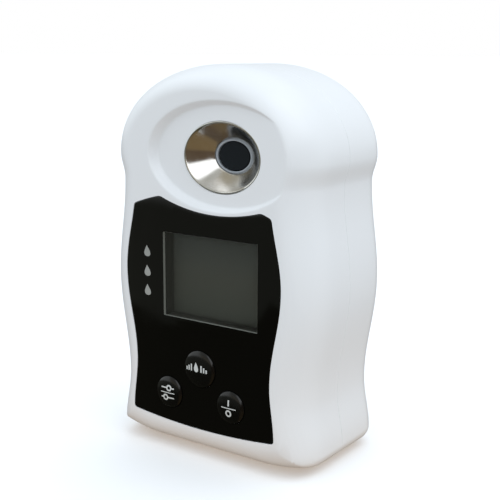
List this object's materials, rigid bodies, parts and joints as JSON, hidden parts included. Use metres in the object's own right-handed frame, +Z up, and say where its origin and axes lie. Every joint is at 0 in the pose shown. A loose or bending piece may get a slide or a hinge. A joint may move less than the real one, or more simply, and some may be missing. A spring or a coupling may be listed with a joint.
{
  "type": "digital refractometer",
  "caption": "Pocket refractometer: waisted white two-part housing, gloss black fascia with display and domed keys, steel sample dish over a prism in an oval recess, rear battery door.",
  "frame": {"origin": "middle of the bounding box's bottom face, on the surface the instrument stands on", "axes": "+Z up along the height, front face with display looks along -Y, +X to the right of it seen from behind"},
  "size_m": [0.071, 0.0452, 0.112],
  "materials": {
    "white_abs": "gloss white ABS",
    "black_gloss": "high gloss black",
    "black_key": "satin gloss black",
    "clear_pane": "clear",
    "lcd_grey": "grey polariser film on glass",
    "dark_plastic": "matt black",
    "grey_plastic": "matt grey",
    "steel": "polished stainless steel",
    "seal_grey": "light grey",
    "prism_glass": "dark optical glass",
    "optic_glass": "clear optical glass",
    "mirror_coat": "mirror",
    "rubber": "matt",
    "board_green": "solder mask",
    "chip_black": "moulded epoxy",
    "tin": "plated",
    "lamp_yellow": "clear tinted epoxy",
    "cell_jacket": "printed film",
    "lead_red": "insulated wire",
    "lead_black": "insulated wire",
    "ribbon_amber": "polyimide film"
  },
  "bodies": {
    "housing": {"battery_box": "dark_plastic", "battery_contact_left": "tin", "battery_contact_right": "tin", "battery_lead_black": "lead_black", "battery_lead_red": "lead_red", "battery_left": "cell_jacket", "battery_right": "cell_jacket", "battery_spring_left": "tin", "battery_spring_right": "tin", "board_screw_1": "tin", "board_screw_2": "tin", "board_screw_3": "tin", "board_screw_4": "tin", "calibrate_switch": "tin", "contact_strip_lower": "rubber", "contact_strip_upper": "rubber", "crystal_can": "tin", "dish_gasket": "rubber", "display_frame": "grey_plastic", "display_glass": "lcd_grey", "display_window": "clear_pane", "focus_lens": "optic_glass", "fold_mirror": "mirror_coat", "front_panel": "black_gloss", "front_shell": "white_abs", "image_sensor": "chip_black", "led_lamp": "lamp_yellow", "main_board": "board_green", "measure_switch": "tin", "optics_block": "dark_plastic", "optics_screw_1": "tin", "optics_screw_2": "tin", "power_switch": "tin", "prism": "prism_glass", "prism_seal": "seal_grey", "processor_chip": "chip_black", "rear_shell": "white_abs", "ribbon_connector": "seal_grey", "sample_dish": "steel", "sensor_board": "board_green", "sensor_ribbon": "ribbon_amber", "sensor_screw_1": "tin", "sensor_screw_2": "tin", "shell_gasket": "rubber", "shell_screw_1": "tin", "shell_screw_2": "tin", "shell_screw_3": "tin", "shell_screw_4": "tin", "temperature_sensor": "chip_black"},
    "measure_button": {"measure_key": "black_key", "measure_plunger": "chip_black"},
    "calibrate_button": {"calibrate_key": "black_key", "calibrate_plunger": "chip_black"},
    "power_button": {"power_key": "black_key", "power_plunger": "chip_black"},
    "rear_door": {"battery_door": "white_abs"}
  },
  "joints": [
    {"name": "measure_press", "type": "slide", "parent": "housing", "child": "measure_button", "axis": [0, 1, 0], "range_m": [0, 0.0006], "stiffness_N_per_m": 2500},
    {"name": "calibrate_press", "type": "slide", "parent": "housing", "child": "calibrate_button", "axis": [0, 1, 0], "range_m": [0, 0.0006], "stiffness_N_per_m": 2500},
    {"name": "power_press", "type": "slide", "parent": "housing", "child": "power_button", "axis": [0, 1, 0], "range_m": [0, 0.0006], "stiffness_N_per_m": 2500},
    {"name": "battery_door_tip", "type": "hinge", "parent": "housing", "child": "rear_door", "pos_m": [0, 0.0218, 0.0136], "axis": [-1, 0, 0], "range_deg": [0, 70]}
  ]
}
